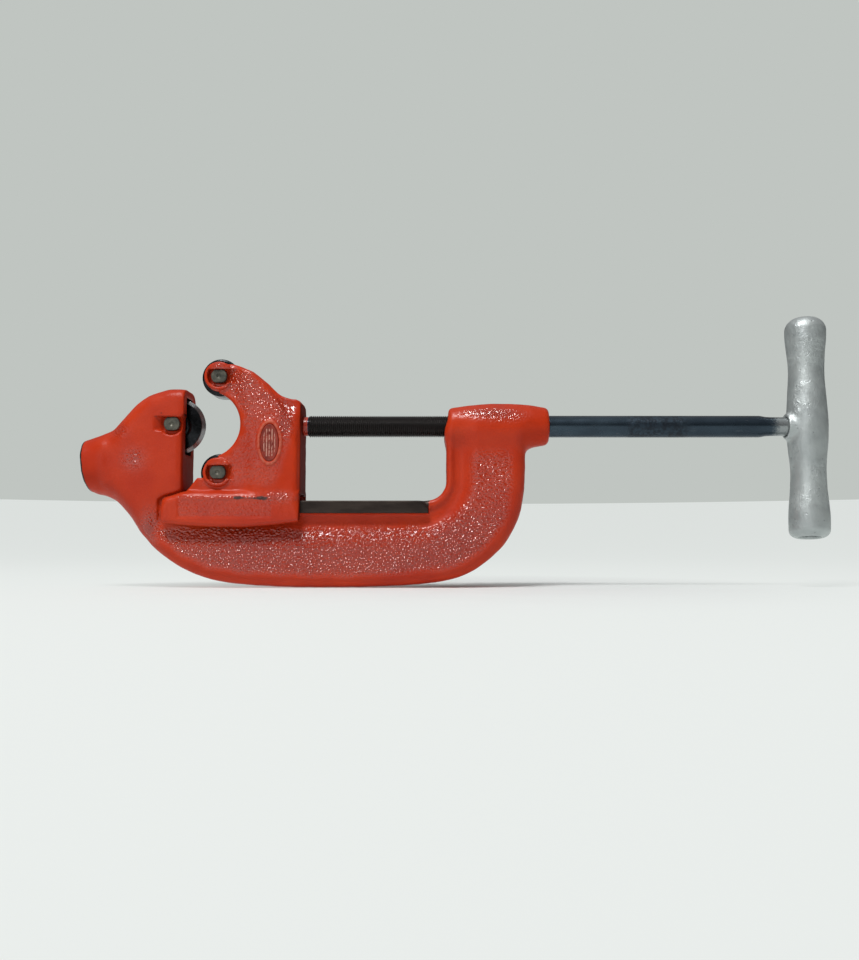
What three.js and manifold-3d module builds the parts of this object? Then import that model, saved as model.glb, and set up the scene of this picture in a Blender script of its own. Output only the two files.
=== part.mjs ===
// Heavy-duty screw-feed pipe cutter for 2 to 4 inch steel pipe.
// Millimetres. +X runs along the feed screw towards the T-handle, +Z from the frame's belly up
// to the screw, and the whole tool is nearly symmetric about the cutting plane Y = 0.
// Each piece is drawn about the centre of the cutter wheel, and the assembled tool is then
// placed with its origin at the middle of its footprint, on the floor that the belly touches.
import * as THREE from "three";
import { mergeVertices } from "three/addons/utils/BufferGeometryUtils.js";
import Module from "manifold-3d";

const wasm = await Module();
wasm.setup();

// ---- driving dimensions ----

const FOOTPRINT_X = 226;
const BELLY_DEPTH = 128.4;

const RUNNING_GAP = 0.3;
const PIN_GAP = 0.25;

const WHEEL_RADIUS = 22.7;
const WHEEL_HUB_RADIUS = 11;
const WHEEL_HUB_HALF = 9.2;
const WHEEL_POCKET_RADIUS = 24;

const ROLLER_RADIUS = 15;
const ROLLER_HALF = 10.7;
const ROLLER_X = 36.3;
const ROLLER_Z = 38;
const ROLLER_POCKET_RADIUS = 16.5;

const PIN_RADIUS = 4.75;
const PIN_HEAD_RADIUS = 6.2;
const PIN_FLATS = 10.2;
const PIN_HEAD_LENGTH = 4.2;
const PIN_GROOVE_RADIUS = 3.7;
const CLIP_THICKNESS = 1;
const CLIP_RADIUS = 7.4;
const HEAD_SLOT_HEIGHT = 10.8;

const MOUTH_X = 9.8;
const CROWN_Z = 28.2;
const CROWN_RISE = 19;
const JAW_HALF = 21.3;
const JAW_HEAD_FLOOR = 14.5;
const JAW_REAR_SEAT = 17.3;

const NOSE_RADIUS = 20.4;
const NOSE_TIP_X = -71;
const NOSE_Z = -31.8;
const NOSE_DROOP = 0.117;
const NOSE_SOCKET_RADIUS = 12.5;
const NOSE_SOCKET_DEPTH = 22;

const RAIL_TOP = -60;
const RAIL_BOTTOM = -70;
const RAIL_HALF = 16;
const RAIL_END_X = 201;
const WEB_HALF = 11.5;
const RIM_HALF = 16;
const LEG_INNER_X = 216.4;
const LEG_OUTER_X = 278.4;
const WINDOW_CORNER = 16;

const BOSS_START_X = 216.4;
const BOSS_END_X = 297.6;

const ARC_X = 27.4;
const ARC_RADIUS = 27.7;
const LOBE_RADIUS = 11.5;
const CHEEK_HALF = 17;
const CHEEK_HEAD_FLOOR = 13.6;
const BODY_HALF = 22.5;
const HOUSING_END_X = 101.4;
const SKIRT_START_X = -6.5;
const SKIRT_TOP = -53.1;
const SKIRT_BOTTOM = -78.3;
const SKIRT_BOW = -84.4;
const SKIRT_HALF = 24;
const CHANNEL_HALF = 16.6;
const OVAL_X = 77.6;
const OVAL_Z = -15.3;

const SCREW_RADIUS = 8.75;
const SCREW_BORE_RADIUS = 9.2;
const NECK_RADIUS = 5.25;
const NECK_GROOVE_RADIUS = 3.7;
const NECK_TIP_X = 78;
const NECK_GROOVE_X = 89.5;
const NECK_GROOVE_HALF = 1.6;
const THREAD_START_X = 105.2;
const REDUCED_START_X = 470;
const REDUCED_RADIUS = 7.65;
const SCREW_TIP_X = 513;

const HANDLE_X = 506.3;
const HANDLE_HALF_LENGTH = 90.2;
const HANDLE_END_RADIUS = 16.1;
const HANDLE_WAIST_RADIUS = 14;
const HANDLE_OPENING_RADIUS = 8;
const HANDLE_OPENING_DEPTH = 64;
const HANDLE_LEAN = -3.5;
const HANDLE_RAKE = 1.7;
const DRIVE_PIN_RADIUS = 3;

// ---- materials ----

const paint = { color: 0xb0402a, roughness: 0.42, metalness: 0.05 };
const blackOxide = { color: 0x2b3238, roughness: 0.38, metalness: 0.85 };
const hardSteel = { color: 0x23262a, roughness: 0.25, metalness: 0.9 };
const pinSteel = { color: 0x53564f, roughness: 0.5, metalness: 0.8 };
const clipSteel = { color: 0x3c3c3c, roughness: 0.4, metalness: 0.9 };
const silverPaint = { color: 0x969c9e, roughness: 0.45, metalness: 0.55 };
const labelFoil = { color: 0x7d2b22, roughness: 0.35, metalness: 0.6 };

// ---- shape helpers ----

// A closed three.js geometry as a solid that can be added to, cut or intersected.
function solid(geometry) {
  const bare = geometry.clone();
  bare.deleteAttribute("normal");
  bare.deleteAttribute("uv");
  const merged = mergeVertices(bare, 1e-4);
  const index = merged.index.array;
  const corners = [];
  for (let i = 0; i < index.length; i += 3) {
    const [a, b, c] = [index[i], index[i + 1], index[i + 2]];
    if (a !== b && b !== c && c !== a) {
      corners.push(a, b, c);
    }
  }
  const mesh = new wasm.Mesh({
    numProp: 3,
    vertProperties: merged.attributes.position.array,
    triVerts: new Uint32Array(corners),
  });
  return new wasm.Manifold(mesh);
}

// A side outline (x, z) made into a plate of the given half width either side of Y = 0.
function plate(outline, halfWidth, bevel = 0, curveSegments = 3) {
  const geometry = new THREE.ExtrudeGeometry(outline, {
    depth: 2 * (halfWidth - bevel),
    bevelEnabled: bevel > 0,
    bevelThickness: bevel,
    bevelSize: bevel,
    bevelOffset: -bevel,
    bevelSegments: 2,
    curveSegments,
  });
  geometry.translate(0, 0, bevel - halfWidth);
  geometry.rotateX(Math.PI / 2);
  return solid(geometry);
}

// A closed profile of [distance from the axis, position along it] turned about X, Y or Z.
function turned(profile, axis, segments = 32) {
  const points = profile.map(([r, h]) => new THREE.Vector2(r, h));
  const geometry = new THREE.LatheGeometry(points, segments);
  if (axis === "x") {
    geometry.rotateZ(-Math.PI / 2);
  }
  if (axis === "z") {
    geometry.rotateX(Math.PI / 2);
  }
  return solid(geometry);
}

function rod(radius, from, to, axis, segments = 32) {
  return turned([[0, from], [radius, from], [radius, to], [0, to]], axis, segments);
}

function block(x0, x1, y0, y1, z0, z1) {
  const geometry = new THREE.BoxGeometry(x1 - x0, y1 - y0, z1 - z0);
  geometry.translate((x0 + x1) / 2, (y0 + y1) / 2, (z0 + z1) / 2);
  return solid(geometry);
}

// An outline drawn as (y, z), carried along the screw from one x to another.
function alongScrew(outline, x0, x1) {
  const geometry = new THREE.ExtrudeGeometry(outline, {
    depth: x1 - x0,
    bevelEnabled: false,
    curveSegments: 8,
  });
  geometry.rotateX(Math.PI / 2);
  geometry.rotateZ(Math.PI / 2);
  geometry.translate(x0, 0, 0);
  return solid(geometry);
}

function points(pairs) {
  return pairs.map(([x, z]) => new THREE.Vector2(x, z));
}

function join(solids) {
  return solids.reduce((sum, next) => sum.add(next));
}

const degrees = THREE.MathUtils.degToRad;

// ---- frame casting ----

// The smooth lower edge of the frame, from under the nose round to the back of the leg.
const BELLY = points([
  [-45, -62],
  [-24, -88],
  [2, -110],
  [45, -124],
  [118, -BELLY_DEPTH],
  [195, -124.8],
  [233, -116.2],
  [262, -91.8],
  [274, -65],
  [LEG_OUTER_X, -38],
]);

function frameSilhouette() {
  const outline = new THREE.Shape();
  outline.moveTo(-58, -9);
  outline.splineThru(points([[-45, 3.6], [-31, 17.6], [-19, 25], [-7, CROWN_Z]]));
  outline.lineTo(7.6, CROWN_Z);
  outline.lineTo(18.4, 24.6);
  outline.lineTo(18.4, 17);
  outline.lineTo(MOUTH_X, 12);
  outline.lineTo(MOUTH_X, RAIL_TOP);
  outline.lineTo(LEG_INNER_X - WINDOW_CORNER, RAIL_TOP);
  const cornerX = LEG_INNER_X - WINDOW_CORNER;
  const cornerZ = RAIL_TOP + WINDOW_CORNER;
  outline.absarc(cornerX, cornerZ, WINDOW_CORNER, degrees(-90), 0, false);
  outline.lineTo(LEG_INNER_X, 5);
  outline.lineTo(290, 5);
  outline.lineTo(290, -14);
  outline.quadraticCurveTo(LEG_OUTER_X, -17, LEG_OUTER_X, -38);
  outline.splineThru([...BELLY].reverse().slice(1));
  outline.lineTo(-58, -54.5);
  outline.closePath();
  return outline;
}

// The swollen edge that runs under the beam and up the outside of the leg.
function rimOutline() {
  const outline = new THREE.Shape();
  outline.moveTo(-38, -60);
  outline.lineTo(-2, -60);
  outline.lineTo(6, -84);
  outline.lineTo(205, -84);
  outline.quadraticCurveTo(226, -80, 228, -56);
  outline.lineTo(228, -12);
  outline.lineTo(LEG_OUTER_X, -12);
  outline.lineTo(LEG_OUTER_X, -38);
  outline.splineThru([...BELLY].reverse().slice(1));
  outline.closePath();
  return outline;
}

function jawOutline() {
  const outline = new THREE.Shape();
  outline.moveTo(-56, -55.4);
  outline.lineTo(-56, -6.5);
  outline.splineThru(points([[-44, 4.6], [-31, 17.6], [-19, 25], [-7, CROWN_Z]]));
  outline.lineTo(MOUTH_X, CROWN_Z);
  outline.lineTo(MOUTH_X, -80);
  outline.lineTo(-28, -80);
  outline.lineTo(-45, -62);
  outline.closePath();
  return outline;
}

// The jaw seen from its mouth: straight cheeks under a crown that is half an ellipse.
function jawSection() {
  const outline = new THREE.Shape();
  const spring = CROWN_Z - CROWN_RISE;
  outline.moveTo(-JAW_HALF, -100);
  outline.lineTo(JAW_HALF, -100);
  outline.lineTo(JAW_HALF, spring);
  outline.absellipse(0, spring, JAW_HALF, CROWN_RISE, 0, Math.PI, false);
  outline.closePath();
  return alongScrew(outline, -70, MOUTH_X);
}

function nose() {
  const profile = [
    [0, 0],
    [NOSE_RADIUS - 1.5, 0],
    [NOSE_RADIUS, 1.5],
    [NOSE_RADIUS, 14],
    [NOSE_RADIUS + 1.5, 34],
    [0, 34],
  ];
  const socket = [
    [0, -1],
    [NOSE_SOCKET_RADIUS, -1],
    [NOSE_SOCKET_RADIUS, NOSE_SOCKET_DEPTH],
    [0, NOSE_SOCKET_DEPTH + 3],
  ];
  const place = (part) =>
    part.rotate([0, THREE.MathUtils.radToDeg(-NOSE_DROOP), 0]).translate([NOSE_TIP_X, 0, NOSE_Z]);
  return [place(turned(profile, "x")), place(turned(socket, "x", 24))];
}

function boss() {
  const middle = (BOSS_START_X + BOSS_END_X) / 2;
  return turned(
    [
      [0, BOSS_START_X],
      [11.5, BOSS_START_X],
      [14, BOSS_START_X + 2.5],
      [17.2, BOSS_START_X + 18],
      [18.4, middle],
      [17.2, BOSS_END_X - 18],
      [14.4, BOSS_END_X - 2.5],
      [12, BOSS_END_X],
      [0, BOSS_END_X],
    ],
    "x",
  );
}

function frameCasting() {
  const [noseStub, noseSocket] = nose();
  const body = join([
    plate(frameSilhouette(), WEB_HALF),
    plate(rimOutline(), RIM_HALF, 4),
    plate(jawOutline(), JAW_HALF, 3).intersect(jawSection()),
    plate(hookOutline(), 8.8, 2),
    block(-20, RAIL_END_X, -RAIL_HALF, RAIL_HALF, RAIL_BOTTOM, RAIL_TOP),
    noseStub,
    boss(),
  ]);
  const seat = SKIRT_TOP + 1.6;
  const recessDepth = JAW_HALF + 1;
  const flangeRecess = (side) => {
    const inner = side * RAIL_HALF;
    const outer = side * recessDepth;
    return block(
      SKIRT_START_X - 3.5,
      MOUTH_X + 1,
      Math.min(inner, outer),
      Math.max(inner, outer),
      SKIRT_BOTTOM - 3,
      seat,
    );
  };
  return body
    .subtract(noseSocket)
    .subtract(rod(WHEEL_POCKET_RADIUS, -9.5, 9.5, "y", 40))
    .subtract(rod(PIN_RADIUS + PIN_GAP, -30, 30, "y", 24))
    .subtract(block(-15, 20, -30, -JAW_HEAD_FLOOR, -HEAD_SLOT_HEIGHT / 2, HEAD_SLOT_HEIGHT / 2))
    .subtract(rod(CLIP_RADIUS + 1.6, JAW_REAR_SEAT, 30, "y", 24))
    .subtract(flangeRecess(-1))
    .subtract(flangeRecess(1))
    .subtract(rod(SCREW_BORE_RADIUS, BOSS_START_X - 5, BOSS_END_X + 5, "x"));
}

// The worn hood over the top of the cutter wheel.
function hookOutline() {
  const outline = new THREE.Shape();
  outline.moveTo(0, CROWN_Z);
  outline.lineTo(8, CROWN_Z);
  outline.lineTo(18.4, 24.8);
  outline.lineTo(18.4, 17);
  outline.lineTo(MOUTH_X, 15);
  outline.lineTo(0, 15);
  outline.closePath();
  return outline;
}

// ---- roller housing ----

// The outer back of the housing's arm, from the upper roller down to the screw hub.
function armBack(outline) {
  outline.splineThru(points([[54.5, 45.5], [64, 40.8], [73.2, 33.8], [82.6, 24.6]]));
  outline.lineTo(89, 22.6);
  outline.quadraticCurveTo(100, 20, HOUSING_END_X, 11);
}

function armOutline() {
  const outline = new THREE.Shape();
  const top = degrees(71);
  outline.moveTo(12.7, SKIRT_TOP + 1.3);
  outline.lineTo(20.1, -42.4);
  outline.lineTo(26, -42.4);
  outline.absarc(ROLLER_X, -ROLLER_Z, LOBE_RADIUS, degrees(202), degrees(90), true);
  outline.absarc(ARC_X, 0, ARC_RADIUS, -top, top, false);
  outline.absarc(ROLLER_X, ROLLER_Z, LOBE_RADIUS, degrees(-90), degrees(75), true);
  armBack(outline);
  outline.lineTo(HOUSING_END_X, RAIL_TOP + RUNNING_GAP);
  outline.lineTo(12.7, RAIL_TOP + RUNNING_GAP);
  outline.closePath();
  return outline;
}

function bodyOutline() {
  const outline = new THREE.Shape();
  outline.moveTo(60, -56);
  outline.lineTo(63, 20);
  outline.quadraticCurveTo(66, 34, 73.2, 32);
  outline.lineTo(82.6, 24.6);
  outline.lineTo(89, 22.6);
  outline.quadraticCurveTo(100, 20, HOUSING_END_X, 11);
  outline.lineTo(HOUSING_END_X, -56);
  outline.closePath();
  return outline;
}

// The skirt that straddles the rail: a sloping front corner and a gently bowed lower edge.
function skirtOutline() {
  const outline = new THREE.Shape();
  const middle = (SKIRT_START_X + HOUSING_END_X) / 2;
  outline.moveTo(SKIRT_START_X, SKIRT_BOTTOM + 2);
  outline.lineTo(SKIRT_START_X, RAIL_TOP);
  outline.lineTo(SKIRT_START_X + 2.5, RAIL_TOP + 2.4);
  outline.lineTo(10.5, SKIRT_TOP);
  outline.lineTo(HOUSING_END_X, SKIRT_TOP);
  outline.lineTo(HOUSING_END_X, SKIRT_BOTTOM + 4);
  outline.lineTo(HOUSING_END_X - 2.8, SKIRT_BOTTOM + 1.3);
  outline.quadraticCurveTo(middle, SKIRT_BOW, SKIRT_START_X + 1.9, SKIRT_BOTTOM);
  outline.closePath();
  return outline;
}

function ovalShape(width, height) {
  const outline = new THREE.Shape();
  outline.absellipse(OVAL_X, OVAL_Z, width / 2, height / 2, 0, 2 * Math.PI);
  return outline;
}

// An upright oval disc lying between two distances in front of the middle plane.
function ovalDisc(width, height, near, far) {
  const disc = plate(ovalShape(width, height), (far - near) / 2, 0, 16);
  return disc.translate([0, -(near + far) / 2, 0]);
}

function rollerHousing() {
  const floor = RAIL_TOP + RUNNING_GAP;
  const body = join([
    plate(armOutline(), CHEEK_HALF, 2),
    plate(bodyOutline(), BODY_HALF, 4),
    plate(skirtOutline(), SKIRT_HALF, 1.5),
    block(12.7, HOUSING_END_X, -RAIL_HALF - 3, RAIL_HALF + 3, floor, SKIRT_TOP),
    ovalDisc(19, 35, BODY_HALF - 4, BODY_HALF + 0.8),
  ]);
  const channel = block(
    SKIRT_START_X - 5,
    HOUSING_END_X + 5,
    -CHANNEL_HALF,
    CHANNEL_HALF,
    SKIRT_BOTTOM - 5,
    floor,
  );
  const jawGap = block(SKIRT_START_X - 5, 12.7, -CHANNEL_HALF, CHANNEL_HALF, floor - 2, 0);
  const heelRelief = plate(heelOutline(), CHANNEL_HALF);
  const cutters = [channel, jawGap, heelRelief];
  for (const z of [ROLLER_Z, -ROLLER_Z]) {
    const half = ROLLER_HALF + RUNNING_GAP;
    const slot = HEAD_SLOT_HEIGHT / 2;
    cutters.push(rod(ROLLER_POCKET_RADIUS, -half, half, "y", 36).translate([ROLLER_X, 0, z]));
    cutters.push(rod(PIN_RADIUS + PIN_GAP, -30, 30, "y", 24).translate([ROLLER_X, 0, z]));
    cutters.push(block(20, 48, -30, -CHEEK_HEAD_FLOOR, z - slot, z + slot));
  }
  cutters.push(rod(NECK_RADIUS + RUNNING_GAP, NECK_TIP_X - 1, HOUSING_END_X + 5, "x", 24));
  cutters.push(clipSlot());
  cutters.push(ovalDisc(15, 30, BODY_HALF - 0.4, BODY_HALF + 4));
  return cutters.reduce((left, cutter) => left.subtract(cutter), body);
}

// The sole is eased at its screw end so that it clears the frame's inner corner.
function heelOutline() {
  const outline = new THREE.Shape();
  const low = RAIL_TOP - 5;
  outline.moveTo(HOUSING_END_X - 8, low);
  outline.lineTo(HOUSING_END_X + 5, low);
  outline.lineTo(HOUSING_END_X + 5, RAIL_TOP + 5);
  outline.lineTo(HOUSING_END_X, RAIL_TOP + 5);
  outline.lineTo(HOUSING_END_X - 8, RAIL_TOP + RUNNING_GAP);
  outline.closePath();
  return outline;
}

// ---- feed screw ----

// The thread runs from its shoulder into the boss; its crests are modelled as a plain cylinder.
function feedScrew() {
  const grooveFrom = NECK_GROOVE_X - NECK_GROOVE_HALF;
  const grooveTo = NECK_GROOVE_X + NECK_GROOVE_HALF;
  return turned(
    [
      [0, NECK_TIP_X],
      [NECK_RADIUS - 1, NECK_TIP_X],
      [NECK_RADIUS, NECK_TIP_X + 1],
      [NECK_RADIUS, grooveFrom],
      [NECK_GROOVE_RADIUS, grooveFrom],
      [NECK_GROOVE_RADIUS, grooveTo],
      [NECK_RADIUS, grooveTo],
      [NECK_RADIUS, THREAD_START_X],
      [SCREW_RADIUS - 1, THREAD_START_X],
      [SCREW_RADIUS, THREAD_START_X + 1],
      [SCREW_RADIUS, REDUCED_START_X],
      [REDUCED_RADIUS, REDUCED_START_X + 1],
      [REDUCED_RADIUS, SCREW_TIP_X],
      [0, SCREW_TIP_X],
    ],
    "x",
  ).subtract(leaning(drivePinBore()));
}

// The U-shaped plate that drops into the neck groove from the rear and holds the screw in.
function clipProfile(inner, outer, front, rear) {
  const outline = new THREE.Shape();
  outline.moveTo(rear, outer);
  outline.lineTo(front, outer);
  outline.lineTo(front, -outer);
  outline.lineTo(rear, -outer);
  outline.lineTo(rear, -inner);
  outline.lineTo(0, -inner);
  outline.absarc(0, 0, inner, degrees(-90), degrees(-270), true);
  outline.lineTo(rear, inner);
  outline.closePath();
  return outline;
}

const SCREW_CLIP_OUTER = 8.5;
const SCREW_CLIP_FRONT = -7.5;
const SCREW_CLIP_REAR = 21;

function screwClip() {
  const inner = NECK_GROOVE_RADIUS + 0.4;
  const outline = clipProfile(inner, SCREW_CLIP_OUTER, SCREW_CLIP_FRONT, SCREW_CLIP_REAR);
  const half = NECK_GROOVE_HALF - RUNNING_GAP;
  return alongScrew(outline, NECK_GROOVE_X - half, NECK_GROOVE_X + half);
}

function clipSlot() {
  const outer = SCREW_CLIP_OUTER + RUNNING_GAP;
  return block(
    NECK_GROOVE_X - NECK_GROOVE_HALF,
    NECK_GROOVE_X + NECK_GROOVE_HALF,
    SCREW_CLIP_FRONT - RUNNING_GAP,
    BODY_HALF + 5,
    -outer,
    outer,
  );
}

// ---- T-handle ----

// Everything fixed to the handle leans with it about the screw axis, in degrees.
function leaning(part) {
  return part.rotate([HANDLE_LEAN, 0, 0]);
}

function drivePinBore() {
  return rod(DRIVE_PIN_RADIUS + PIN_GAP, -5, 25, "y", 16).translate([HANDLE_X, 0, 0]);
}

function drivePin() {
  return leaning(rod(DRIVE_PIN_RADIUS, -4.6, 15.8, "y", 16).translate([HANDLE_X, 0, 0]));
}

// The grip is raked a little off square to the screw; its collar and bore are not.
function tHandle() {
  const half = HANDLE_HALF_LENGTH;
  const end = HANDLE_END_RADIUS;
  const waist = HANDLE_WAIST_RADIUS;
  const swell = [
    [end - 7, half],
    [end - 2.2, half - 2.6],
    [end, half - 11],
    [end - 0.7, half - 20],
    [waist + 0.6, half - 32],
    [waist, half - 44],
    [waist + 0.7, half - 60],
    [end - 0.6, half - 78],
  ];
  const profile = [
    [0, -half],
    ...swell.map(([r, h]) => [r, -h]),
    [end - 0.2, 0],
    ...[...swell].reverse(),
    [0, half],
  ];
  const opening = (side) => {
    const depth = side * (half - HANDLE_OPENING_DEPTH);
    const from = Math.min(depth, side * (half + 2));
    const to = Math.max(depth, side * (half + 2));
    return rod(HANDLE_OPENING_RADIUS, from, to, "z", 24);
  };
  const collar = turned(
    [[0, -18], [9.4, -18], [10.4, -16.6], [12, -11], [0, -11]],
    "x",
  );
  const handle = turned(profile, "z", 32)
    .subtract(opening(1))
    .subtract(opening(-1))
    .rotate([0, HANDLE_RAKE, 0])
    .add(collar)
    .subtract(rod(REDUCED_RADIUS + PIN_GAP, -30, SCREW_TIP_X - HANDLE_X + 1, "x"))
    .translate([HANDLE_X, 0, 0])
    .subtract(drivePinBore());
  return leaning(handle);
}

// ---- cutter wheel, rollers, pins and clips ----

function cutterWheel() {
  const bore = PIN_RADIUS + PIN_GAP;
  const side = [
    [bore, WHEEL_HUB_HALF],
    [WHEEL_HUB_RADIUS - 1, WHEEL_HUB_HALF],
    [WHEEL_HUB_RADIUS, WHEEL_HUB_HALF - 1],
    [WHEEL_HUB_RADIUS, 3.4],
    [WHEEL_RADIUS - 3.5, 2],
    [WHEEL_RADIUS, 0.15],
  ];
  const below = side.map(([r, h]) => [r, -h]);
  const above = [...side].reverse();
  return turned([...below, ...above, below[0]], "y", 48);
}

function pipeRoller(z) {
  const bore = PIN_RADIUS + PIN_GAP;
  const side = [
    [bore, ROLLER_HALF],
    [ROLLER_RADIUS - 1, ROLLER_HALF],
    [ROLLER_RADIUS, ROLLER_HALF - 1],
  ];
  const below = side.map(([r, h]) => [r, -h]);
  const above = [...side].reverse();
  return turned([...below, ...above, below[0]], "y", 40).translate([ROLLER_X, 0, z]);
}

// A headed pin: the two flats on its head lie in the milled slot and stop it turning.
function headedPin(headFloor, seat) {
  const grooveFrom = seat + 0.3;
  const grooveTo = grooveFrom + CLIP_THICKNESS + 0.4;
  const tail = grooveTo + 2;
  const underHead = -headFloor - RUNNING_GAP;
  const shank = turned(
    [
      [0, underHead - 0.1],
      [PIN_RADIUS, underHead - 0.1],
      [PIN_RADIUS, grooveFrom],
      [PIN_GROOVE_RADIUS, grooveFrom],
      [PIN_GROOVE_RADIUS, grooveTo],
      [PIN_RADIUS, grooveTo],
      [PIN_RADIUS, tail - 0.8],
      [PIN_RADIUS - 0.8, tail],
      [0, tail],
    ],
    "y",
    24,
  );
  const top = underHead - PIN_HEAD_LENGTH;
  const disc = rod(PIN_HEAD_RADIUS, top, underHead, "y", 24);
  const flats = block(-20, 20, top - 1, underHead + 1, -PIN_FLATS / 2, PIN_FLATS / 2);
  return shank.add(disc.intersect(flats));
}

// An open retaining ring that snaps into a pin's groove.
function pinClip(seat) {
  const inner = PIN_GROOVE_RADIUS + 0.25;
  const outline = new THREE.Shape();
  const gapAngle = degrees(38);
  const from = -Math.PI / 2 + gapAngle;
  const to = (3 * Math.PI) / 2 - gapAngle;
  outline.absarc(0, 0, CLIP_RADIUS, from, to, false);
  outline.absarc(0, 0, inner, to, from, true);
  outline.closePath();
  const middle = seat + 0.5 + CLIP_THICKNESS / 2;
  return plate(outline, CLIP_THICKNESS / 2, 0, 10).translate([0, middle, 0]);
}

function ovalLabel() {
  return ovalDisc(14.4, 29.4, BODY_HALF - 0.1, BODY_HALF + 0.5);
}

// ---- assembly ----

const tool = new THREE.Group();
tool.position.set(-FOOTPRINT_X, 0, BELLY_DEPTH);

function addPiece(name, shape, finish) {
  const data = shape.getMesh();
  const geometry = new THREE.BufferGeometry();
  const corners = new Float32Array(data.numVert * 3);
  for (let i = 0; i < data.numVert; i += 1) {
    const start = i * data.numProp;
    corners.set(data.vertProperties.subarray(start, start + 3), i * 3);
  }
  geometry.setAttribute("position", new THREE.BufferAttribute(corners, 3));
  geometry.setIndex(new THREE.BufferAttribute(new Uint32Array(data.triVerts), 1));
  geometry.computeVertexNormals();
  const mesh = new THREE.Mesh(geometry, new THREE.MeshStandardMaterial(finish));
  mesh.name = name;
  tool.add(mesh);
}

addPiece("frame_casting", frameCasting(), paint);
addPiece("roller_housing", rollerHousing(), paint);
addPiece("oval_label", ovalLabel(), labelFoil);
addPiece("feed_screw", feedScrew(), blackOxide);
addPiece("screw_retaining_clip", screwClip(), clipSteel);
addPiece("t_handle", tHandle(), silverPaint);
addPiece("handle_drive_pin", drivePin(), clipSteel);
addPiece("cutter_wheel", cutterWheel(), hardSteel);
addPiece("cutter_wheel_pin", headedPin(JAW_HEAD_FLOOR, JAW_REAR_SEAT), pinSteel);
addPiece("cutter_wheel_pin_clip", pinClip(JAW_REAR_SEAT), clipSteel);

for (const [place, z] of [["upper", ROLLER_Z], ["lower", -ROLLER_Z]]) {
  const moved = (part) => part.translate([ROLLER_X, 0, z]);
  addPiece(`${place}_roller`, pipeRoller(z), hardSteel);
  addPiece(`${place}_roller_pin`, moved(headedPin(CHEEK_HEAD_FLOOR, CHEEK_HALF)), pinSteel);
  addPiece(`${place}_roller_pin_clip`, moved(pinClip(CHEEK_HALF)), clipSteel);
}

export default tool;
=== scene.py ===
"""Looks of the heavy-duty pipe cutter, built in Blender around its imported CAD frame.

Castings are sculpted as distance fields on a grid of points and meshed with surface nets, so
every fillet, pad and milled slot is real geometry. Turned pieces are swept profiles, and the
feed screw carries a true helical thread. All shape code works in millimetres measured from the
centre of the cutter wheel: x along the screw, y away from the viewer, z up.
"""
import math

import bmesh
import bpy
import numpy as np
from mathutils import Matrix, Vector


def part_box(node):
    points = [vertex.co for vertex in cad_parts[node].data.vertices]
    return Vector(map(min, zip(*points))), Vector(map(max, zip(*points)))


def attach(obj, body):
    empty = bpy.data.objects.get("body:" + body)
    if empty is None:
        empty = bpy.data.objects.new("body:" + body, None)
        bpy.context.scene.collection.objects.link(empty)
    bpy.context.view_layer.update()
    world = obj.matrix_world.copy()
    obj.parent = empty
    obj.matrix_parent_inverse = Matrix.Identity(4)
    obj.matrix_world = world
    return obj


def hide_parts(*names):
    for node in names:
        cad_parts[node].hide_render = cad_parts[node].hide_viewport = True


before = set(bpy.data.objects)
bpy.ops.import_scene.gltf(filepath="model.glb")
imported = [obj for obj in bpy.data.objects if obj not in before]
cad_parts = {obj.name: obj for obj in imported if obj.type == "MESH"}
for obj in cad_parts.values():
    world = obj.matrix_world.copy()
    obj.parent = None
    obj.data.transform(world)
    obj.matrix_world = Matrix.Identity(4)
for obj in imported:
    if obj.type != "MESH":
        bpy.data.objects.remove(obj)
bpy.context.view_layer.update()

MM = 0.001
LOW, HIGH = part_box("cutter_wheel")
WHEEL = (LOW + HIGH) / 2


# ---------------------------------------------------------------- distance fields

def smooth_join(a, b, k):
    """Union of two distance fields with a fillet about k wide."""
    blend = np.maximum(k - np.abs(a - b), 0) / k
    return np.minimum(a, b) - blend * blend * k / 4


def smooth_cut(a, b, k):
    """Field a with field b taken away, the edge eased over k."""
    return -smooth_join(-a, b, k)


def round_meet(a, b, r):
    """Intersection of two fields whose shared edge has radius r."""
    corner = np.hypot(np.maximum(a + r, 0), np.maximum(b + r, 0))
    return np.minimum(np.maximum(a, b), -r) + corner


def ramp(value, start, end):
    """0 before start, 1 after end, smooth between."""
    t = np.clip((value - start) / (end - start), 0, 1)
    return t * t * (3 - 2 * t)


def mix(a, b, share):
    """a where share is 0, b where it is 1."""
    return a + (b - a) * share


def box_field(p, low, high, r=0.0):
    """Distance to a box with rounded edges. low and high may hold infinities."""
    gaps = [np.maximum(lo - c, c - hi) + r for c, lo, hi in zip(p, low, high)]
    outside = sum(np.maximum(g, 0) ** 2 for g in gaps)
    inside = np.minimum(np.maximum(np.maximum(gaps[0], gaps[1]), gaps[2]), 0)
    return np.sqrt(outside) + inside - r


def disc_field(p, centre, radius, low, high, r=0.0):
    """A cylinder about Y through centre (x, z), from y = low to y = high."""
    x, y, z = p
    around = np.hypot(x - centre[0], z - centre[1]) - radius
    along = np.maximum(low - y, y - high)
    return round_meet(around, along, r) if r else np.maximum(around, along)


def curve_through(points, steps=8):
    """A smooth open line through the points (Catmull-Rom)."""
    p = np.array(points, float)
    p = np.vstack([2 * p[0] - p[1], p, 2 * p[-1] - p[-2]])
    t = np.linspace(0, 1, steps, endpoint=False)[:, None]
    out = []
    for a, b, c, d in zip(p[:-3], p[1:-2], p[2:-1], p[3:]):
        out.append(0.5 * (2 * b + (c - a) * t + (2 * a - 5 * b + 4 * c - d) * t**2
                          + (3 * b - a - 3 * c + d) * t**3))
    return np.vstack(out + [p[-2:-1]])


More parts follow.
